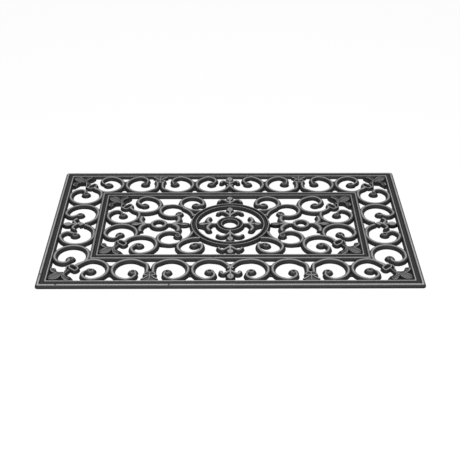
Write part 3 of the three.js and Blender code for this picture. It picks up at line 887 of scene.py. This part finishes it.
@dataclass
class LeafSpray:
    """A hollow collar, a neck, and three leaves in a corner, drawn where they lie in the border."""

    collar: Outline = (
        (303.8, 171.6), (299, 163.6), (304.2, 156.2), (311.6, 151.4), (317.2, 154.6), (315.4, 161.8),
        (310, 167.4))
    collar_floor: Outline = ((303.5, 169), (301, 163), (312, 153), (315.5, 156), (313.5, 162))
    veins: tuple[Outline, ...] = (
        ((324.6, 178), (323, 186.4), (319.3, 193), (315.6, 197), (312, 198.8)),
        ((326, 182), (327, 188), (324.8, 195.8), (321.2, 201.4), (316.7, 203.6), (313, 201.8)),
        ((327.6, 178.6), (334, 180.6), (340.4, 180), (346, 176.8), (350.4, 171.6), (352, 165)))
    hook_eye: Point = (347.0, 167.6)
    sepal: Path = (
        (317.6, 153.6, 0.8), (320.8, 156.6, 1), (321.9, 162.4, 1), (321.8, 168, 1), (322.9, 173, 1),
        (323.8, 179, 0.8))
    neck: Path = (
        (312, 165, 1.2), (316.2, 168.6, 2.4), (319.4, 173.4, 2.8), (322.2, 179, 2.4), (324.2, 184, 1.6))
    tail: Path = (
        (324.8, 177, 1.2), (325.2, 183, 2), (324.3, 189, 2.7), (322, 194.6, 3.3), (318.6, 198.9, 3.3),
        (314.6, 200.9, 2.6), (311.4, 200.6, 1.6))
    blade: Path = (
        (326.5, 177.6, 1), (329.8, 181, 3.4), (334.4, 185.6, 7), (339.5, 190.4, 9), (344.4, 194.6, 8.6),
        (348.6, 197.8, 6.2), (351.4, 199.8, 2.6))
    hook: Path = (
        (326.5, 177.6, 1.2), (332, 179.2, 1.6), (338, 178.6, 2.4), (343.4, 175.2, 3.0), (347.0, 170.6, 3.0))
    web: Outline = (
        (319.4, 178.2), (324, 172.6), (337, 171.4), (342.6, 165), (347.4, 158), (354, 155), (354, 206),
        (304, 206), (305.4, 196), (310.5, 188), (315.8, 184.4))
    field: Point = (-89.2, -89.6)
    field_collar: Point = (-87.2, -89.0)

    def cast(self, by: Point, collar_by: Point) -> Casting:
        """Casts the spray.

        Args:
            by: How far its leaves lie from where they are drawn.
            collar_by: The same for its collar and neck.

        Returns:
            The spray of the first quarter.
        """
        casting = Casting()
        casting.web(shifted(self.web, by), draft=0.8, height=2.2)
        casting.web(shifted(self.collar_floor, collar_by), draft=0.3, height=2.6)
        casting.ridge(curve_through(shifted(self.collar, collar_by), closed=True), Ridge.RIM, closed=True)
        casting.ridge(curve_through(shifted(self.neck, collar_by)), Ridge.LEAF)
        for leaf in (self.tail, self.hook, self.blade):
            casting.ridge(curve_through(shifted(leaf, by)), Ridge.LEAF)
        casting.eye(shifted([self.hook_eye], by)[0], base=6.4, rim=3.7, height=7.2)
        for vein in self.veins:
            casting.ridge(curve_through(shifted(vein, by)), Ridge.RIB)
        casting.ridge(curve_through(shifted(self.sepal, collar_by)), Ridge.BAND)
        return casting

    def build(self, material: bpy.types.Material) -> None:
        """Builds the sprays of the border and of the field."""
        in_quarters(self.cast((0, 0), (0, 0)), "border_spray", material)
        in_quarters(self.cast(self.field, self.field_collar), "field_spray", material)


@dataclass
class Lyre:
    """The clasp between two border scrolls: a waisted block, a double band across it and a ribbed foot."""

    x: float = 157.0
    half: Outline = ((10.5, 177), (12, 181), (11.5, 187), (9, 191), (9.5, 195.5), (15.5, 206))
    band: Outline = ((0, 178.4), (5, 178.2), (9.6, 181), (10, 186.4), (5, 188.6), (0, 188.2))
    bar: Outline = ((0, 178.5), (0, 188.5))
    rib: Path = ((3.2, 191, 0.9), (6.4, 193.6, 1.1), (10, 197.4, 1.2), (15.4, 201.4, 1.3))
    spine: Outline = ((0, 188), (0, 205))
    draft: float = 2.6
    levels: Outline = ((1.6, 2.6), (1.0, 2.6), (0.6, 0.2))

    def cast(self) -> Casting:
        """Casts the lyre of the first quarter.

        Returns:
            The lyre, where it stands.
        """
        casting = Casting()
        casting.ridge(curve_through(self.rib), Ridge.BAND)
        casting.doubled(MIRROR_X)
        outline = [*self.half, *[(-x, y) for x, y in reversed(self.half)]]
        casting.pad(outline, self.draft, self.levels)
        loop = [*self.band, *[(-x, y) for x, y in reversed(self.band[1:-1])]]
        casting.ridge(curve_through(loop, closed=True), Ridge.BAND, closed=True)
        casting.ridge(curve_through(self.bar), Ridge.RIB)
        casting.ridge(curve_through(self.spine), Ridge.RIB)
        casting.place(Matrix.Translation((self.x * MM, 0, 0)))
        return casting

    def build(self, material: bpy.types.Material) -> None:
        """Builds the four lyres."""
        in_quarters(self.cast(), "lyre", material)


def pointed(centre: float, half_length: float, half_width: float, pinch: float = 0.32,
            count: int = 32) -> list[Point]:
    """The outline of a leaf pointed at both ends, along x.

    Args:
        centre: Where its middle lies, in millimetres.
        half_length: Half its length.
        half_width: Half its width.
        pinch: How much its ends are drawn in.
        count: How many points it has.

    Returns:
        The points, once round.
    """
    angles = [2 * math.pi * i / count for i in range(count)]
    return [(centre + half_length * math.cos(a), half_width * math.sin(a) * (1 - pinch * math.cos(a) ** 2))
            for a in angles]


@dataclass(frozen=True)
class Fleur:
    """A stem with two curling leaves and a dimpled bud, drawn along y.

    The bud is given as its middle, its half length and its half width.
    """

    stem: tuple[Point, Point]
    leaf: Path
    bud: tuple[float, float, float]
    fork: Outline = ()
    web: Outline = ()

    def cast(self, casting: Casting) -> None:
        """Adds the fleur.

        Args:
            casting: What it is added to.
        """
        half = Casting()
        half.ridge(curve_through(self.leaf), Ridge.CURL, capped=True)
        if self.fork:
            half.ridge(curve_through(self.fork), Ridge.STEM)
        half.doubled(MIRROR_X)
        half.ridge(curve_through(self.stem), Ridge.STEM)
        if self.web:
            half.web(self.web, draft=0.8, height=3.0)
        bud = [(across, along) for along, across in pointed(*self.bud, pinch=0.3, count=28)]
        half.pad(bud, BUD_DRAFT, BUD_LEVELS)
        merge(half, casting)


def merge(source: Casting, target: Casting) -> None:
    """Adds all of one casting to another.

    Args:
        source: What is added.
        target: What it is added to.
    """
    data = bpy.data.meshes.new("scratch")
    source.mesh.to_mesh(data)
    target.mesh.from_mesh(data)
    bpy.data.meshes.remove(data)


@dataclass
class Fleurs:
    """The fleurs of the borders and those outside the medallion."""

    long_edge: float = 203.2
    short_edge: float = 353.2
    border: Fleur = Fleur(
        stem=((0, -46), (0, -19.5)),
        leaf=((0, -31), (5, -26.4), (10, -21.8), (15, -19.6), (18, -22.4), (18.6, -27.2)),
        bud=(-11.4, 10.2, 7.5),
        fork=((0, -45), (3, -41), (6, -36.7)),
        web=((-9, -57.6), (9, -57.6), (3, -48), (-3, -48)))
    end: Fleur = Fleur(
        stem=((0, -46), (0, -20)),
        leaf=((0, -31.6), (5, -27.2), (10, -24.2), (14.4, -23.8), (18.2, -26.2), (20.4, -28.6)),
        bud=(-12.2, 10.0, 7.4),
        fork=((0, -45), (3, -41), (6, -36.7)))
    outer: Fleur = Fleur(
        stem=((0, 82), (0, 97.5)),
        leaf=((0, 87), (6, 92), (12, 97.8), (17.2, 100), (21.6, 96.4), (23.6, 91.6)),
        bud=(104.5, 8.5, 7.3))

    def build(self, material: bpy.types.Material) -> None:
        """Builds the six fleurs.

        Args:
            material: Their material: rubber with painted highlight and shade.
        """
        for name, fleur, matrix, sides in (
                ("border_fleur", self.border, Matrix.Translation((0, self.long_edge * MM, 0)),
                 {"back": (1, 1), "front": (1, -1)}),
                ("medallion_fleur", self.outer, Matrix.Identity(4), {"back": (1, 1), "front": (1, -1)}),
                ("end_fleur", self.end, Matrix.Translation((self.short_edge * MM, 0, 0))
                 @ Matrix.Rotation(-math.pi / 2, 4, "Z"), {"right": (1, 1), "left": (-1, 1)})):
            casting = Casting()
            fleur.cast(casting)
            casting.place(matrix)
            for side, signs in sides.items():
                casting.finish(f"{name}_{side}_moulding", [f"{name}_{side}"], material, signs)


@dataclass
class SideLink:
    """The link along the middle: pointed leaves, stems, a ring, and arms that curl out to both sides."""

    ring_x: float = 149.8
    ring_crest: float = 14.4
    leaves: tuple[tuple[float, float, float], ...] = ((198.4, 11.4, 5.6), (97, 12, 5.2))
    stems: tuple[tuple[Point, Point], ...] = (((166, 0), (192, 0)), ((105, 0), (134, 0)))
    arms: tuple[Path, ...] = (
        ((179, 0.6), (183.6, 4.6), (187.4, 11), (188.9, 17.6), (188.4, 24), (186.6, 29.4)),
        ((120, 0.4), (114.4, 4.6), (110.4, 9.6), (108, 15.6), (107.9, 22), (109.6, 28.6)))

    def build(self, material: bpy.types.Material) -> None:
        """Builds the two links.

        Args:
            material: Their material: rubber with painted highlight and shade.
        """
        casting = Casting()
        for path in self.arms:
            casting.ridge(curve_through(path), Ridge.ARM)
        casting.doubled(MIRROR_Y)
        for centre, length, width in self.leaves:
            casting.pad(pointed(centre, length, width), LEAF_DRAFT, LEAF_LEVELS)
        for path in self.stems:
            casting.ridge(curve_through(path), Ridge.STEM)
        profile = [(self.ring_crest + side, up) for side, up in Ridge.SCROLL.value.loop()]
        casting.turned(profile, (self.ring_x, 0), closed=True, steps=56)
        for side, signs in {"right": (1, 1), "left": (-1, 1)}.items():
            casting.finish(f"side_link_{side}_moulding", [f"side_link_{side}"], material, signs)


@dataclass
class Medallion:
    """The twin ring of the middle, and the hub that its fleurs, leaves and blades hold in it."""

    beads: Point = (81, 71.5)
    feet: Point = (85.4, 67.0)
    hub_beads: Point = (26.3, 18.2)
    hub_feet: Point = (31.2, 14.0)
    valley: Point = (2.9, 4.0)
    foot_step: Point = (0.5, 1.6)
    bead: Outline = (
        (-2.0, 1.9), (-1.65, 0.9), (-1.0, 0.25), (-0.35, 0.0), (0.35, 0.0), (1.0, 0.25), (1.65, 0.9),
        (2.0, 1.9))
    leaf: tuple[float, float, float] = (58, 9.2, 5.4)
    stem: tuple[Point, Point] = ((28, 0), (52, 0))
    blade: Path = ((40.6, 0.6), (44, 5.4), (46.6, 10.6), (47.2, 16), (45.6, 20.8), (43.6, 24.4))
    web: Outline = ((34, 0), (38, 8), (42, 14), (53, 17), (58, 12.6), (67.5, 8.6), (67.5, 0))
    fleur: Fleur = Fleur(
        stem=((0, 27), (0, 50)),
        leaf=((0, 33), (5, 40.5), (10, 45.6), (15.6, 48.6), (21.6, 47.4), (25.2, 43.4)),
        bud=(57.7, 9.3, 7.2))

    def ring(self, beads: Point, feet: Point) -> list[Point]:
        """The closed section of a twin ring.

        Args:
            beads: Radii of the crests of its outer and its inner bead, in millimetres.
            feet: Radii of its outer and its inner foot.

        Returns:
            Its (radius, height) points, from the inner foot outwards.
        """
        outer = [(beads[0] - side, FIELD_HEIGHT - drop) for side, drop in self.bead]
        inner = [(beads[1] - side, FIELD_HEIGHT - drop) for side, drop in self.bead]
        off, floor = self.valley
        step, up = self.foot_step
        return [(feet[1], 0), (feet[0], 0), (feet[0] - step, up), *outer,
                (beads[0] - off, floor), (beads[1] + off, floor), *inner, (feet[1] + step, up)]

    def build(self, material: bpy.types.Material) -> None:
        """Builds the medallion's ring and the hub.

        Args:
            material: Their material: rubber with painted highlight and shade.
        """
        ring = Casting()
        ring.turned(self.ring(self.beads, self.feet), (0, 0), closed=True, steps=144)
        ring.finish("medallion_ring_moulding", ["medallion_ring"], material)
        hub = Casting()
        hub.ridge(curve_through(self.blade), Ridge.BLADE, capped=True)
        hub.web(self.web, draft=1.2, height=2.4)
        hub.doubled(MIRROR_Y)
        hub.ridge(curve_through(self.stem), Ridge.STEM)
        hub.pad(pointed(*self.leaf), LEAF_DRAFT, LEAF_LEVELS)
        hub.doubled(MIRROR_X)
        petals = Casting()
        self.fleur.cast(petals)
        petals.doubled(MIRROR_Y)
        merge(petals, hub)
        hub.turned(self.ring(self.hub_beads, self.hub_feet), (0, 0), closed=True, steps=72)
        hub.finish("hub_rosette_moulding", ["hub_rosette"], material)


@dataclass(frozen=True)
class Panel:
    """A square soft lamp: where it hangs, what it faces, its side in metres and its power in watts."""

    name: str
    place: Place
    target: Place
    size: float
    power: float

    def hang(self) -> None:
        """Hangs the lamp."""
        data = bpy.data.lights.new(self.name, "AREA")
        data.size = self.size
        data.energy = self.power
        made = bpy.data.objects.new(self.name, data)
        bpy.context.scene.collection.objects.link(made)
        aim = (Vector(self.target) - Vector(self.place)).to_track_quat("-Z", "Y")
        made.matrix_world = Matrix.Translation(self.place) @ aim.to_matrix().to_4x4()


@dataclass
class Studio:
    """A white floor, plain soft light and the photograph's camera."""

    camera_place: Place = (-6.95, -1718.3, 1073.5)
    pitch: float = 32.207
    yaw: float = 0.229
    roll: float = 0.0165
    focal_pixels: float = 960.8
    picture_pixels: float = 460.0
    sensor: float = 36.0
    floor_size: float = 30.0
    floor_gap: float = 0.2
    floor_grey: float = 0.85
    glow: float = 1.04
    glow_share: float = 0.9
    sky: float = 0.22
    panels: tuple[Panel, ...] = (Panel("sky_panel", (0.0, 0.2, 1.9), (0.0, 0.0, 0.0), 1.6, 11.0),
                                 Panel("front_panel", (0.0, -1.9, 1.1), (0.0, -0.1, 0.0), 0.9, 46.0))

    def build(self) -> None:
        """Sets up the floor, the world, the lamps and the camera."""
        scene = bpy.context.scene
        scene.view_settings.view_transform = "Standard"
        self.floor()
        self.world(scene)
        for panel in self.panels:
            panel.hang()
        self.camera(scene)

    def camera(self, scene: bpy.types.Scene) -> None:
        """Stands the camera where the photograph was taken from.

        Args:
            scene: The scene that it looks at.
        """
        data = bpy.data.cameras.new("camera")
        data.sensor_width = self.sensor
        data.lens = self.sensor * self.focal_pixels / self.picture_pixels
        data.clip_end = 50.0
        made = bpy.data.objects.new("camera", data)
        scene.collection.objects.link(made)
        turn = Matrix.Rotation(math.radians(-self.yaw), 4, "Z")
        turn = turn @ Matrix.Rotation(math.radians(90 - self.pitch), 4, "X")
        turn = turn @ Matrix.Rotation(math.radians(self.roll), 4, "Z")
        made.matrix_world = Matrix.Translation([v * MM for v in self.camera_place]) @ turn
        scene.camera = made

    def world(self, scene: bpy.types.Scene) -> None:
        """Lights the scene evenly, and shows white behind it.

        Args:
            scene: The scene that it surrounds.
        """
        made = bpy.data.worlds.new("studio")
        made.use_nodes = True
        scene.world = made
        tree = made.node_tree
        background = tree.nodes["Background"]
        background.inputs["Color"].default_value = (1, 1, 1, 1)
        seen = self.seen(tree)
        tree.links.new((seen * (1 - self.sky) + self.sky).socket, background.inputs["Strength"])

    def floor(self) -> None:
        """Lays a white floor that keeps a little of the mat's shadow."""
        bm = bmesh.new()
        bmesh.ops.create_grid(bm, x_segments=1, y_segments=1, size=self.floor_size)
        bmesh.ops.translate(bm, vec=(0, 0, -self.floor_gap * MM), verts=bm.verts)
        data = bpy.data.meshes.new("floor")
        bm.to_mesh(data)
        bm.free()
        made = bpy.data.objects.new("floor", data)
        bpy.context.scene.collection.objects.link(made)
        paper = bpy.data.materials.new("white_paper")
        paper.use_nodes = True
        tree = paper.node_tree
        shader = tree.nodes["Principled BSDF"]
        shader.inputs["Base Color"].default_value = (self.floor_grey, self.floor_grey, self.floor_grey, 1)
        shader.inputs["Roughness"].default_value = 0.9
        glow = node(tree, "ShaderNodeEmission", values={"Color": (1, 1, 1, 1), "Strength": self.glow})
        share = self.seen(tree) * self.glow_share
        plain = Signal(tree, shader.outputs[0])
        mixed = node(tree, "ShaderNodeMixShader", values={0: share, 1: plain, 2: glow})
        tree.links.new(mixed.socket, tree.nodes["Material Output"].inputs["Surface"])
        data.materials.append(paper)

    @staticmethod
    def seen(tree: bpy.types.NodeTree) -> Signal:
        """Tells what the camera sees from what lights the scene.

        Args:
            tree: The nodes that ask.

        Returns:
            1 for what is seen straight, in a gloss or through glass, and 0 for all other light.
        """
        rays = tree.nodes.new("ShaderNodeLightPath")
        direct = Signal(tree, rays.outputs["Is Camera Ray"])
        gloss = Signal(tree, rays.outputs["Is Glossy Ray"])
        glass = Signal(tree, rays.outputs["Is Transmission Ray"])
        return direct.math("MAXIMUM", gloss).math("MAXIMUM", glass)


def main() -> None:
    """Builds the mat piece by piece and sets it on the floor."""
    logging.basicConfig(level=logging.INFO, format="%(name)s: %(message)s")
    # The frames' materials are lit and shaded copies of one rubber. The end bars' copies have a narrower
    # painted highlight and slightly lighter walls, as light falls on the long bars' beads from the front. The
    # outer frame's copies have a brighter painted highlight than the inner frame's.
    outer_long = RubberWithPaintedLight("outer_long_rubber_painted_light", wall=0.017, crest=0.4, flatness=(0.9, 0.99)).material()
    outer_short = RubberWithPaintedLight("outer_short_rubber_painted_light", wall=0.019, crest=0.4, flatness=(0.94, 0.995)).material()
    inner_long = RubberWithPaintedLight("inner_long_rubber_painted_light", wall=0.016, crest=0.28, flatness=(0.87, 0.985)).material()
    inner_short = RubberWithPaintedLight("inner_short_rubber_painted_light", wall=0.022, crest=0.3, flatness=(0.94, 0.995)).material()
    outer_nicks = (("front", -335, 0), ("front", -118, 0), ("front", -237, 1), ("left", 183, 0),
                   ("front", -294, 1), ("front", -77, 1))
    outer_frame = BeadedFrame("outer_frame", x=375, y=225, beads=(5.8, 17.9), foot=22.4,
                              height=7.0, radius=7.0, nicks=outer_nicks)
    inner_frame = BeadedFrame("inner_frame", x=282.7, y=133.7, beads=(4.9, 15.3), foot=20.0,
                              height=FIELD_HEIGHT, radius=2.5, nicks=(("front", -34, 0),))
    outer_frame.build(outer_long, outer_short)
    inner_frame.build(inner_long, inner_short)
    rubber = RubberWithPaintedLight().material()
    for ornament in (Scrollwork(), LeafSpray(), Lyre(), Fleurs(), SideLink(), Medallion()):
        ornament.build(rubber)
    Studio().build()


if __name__ == "__main__":
    main()
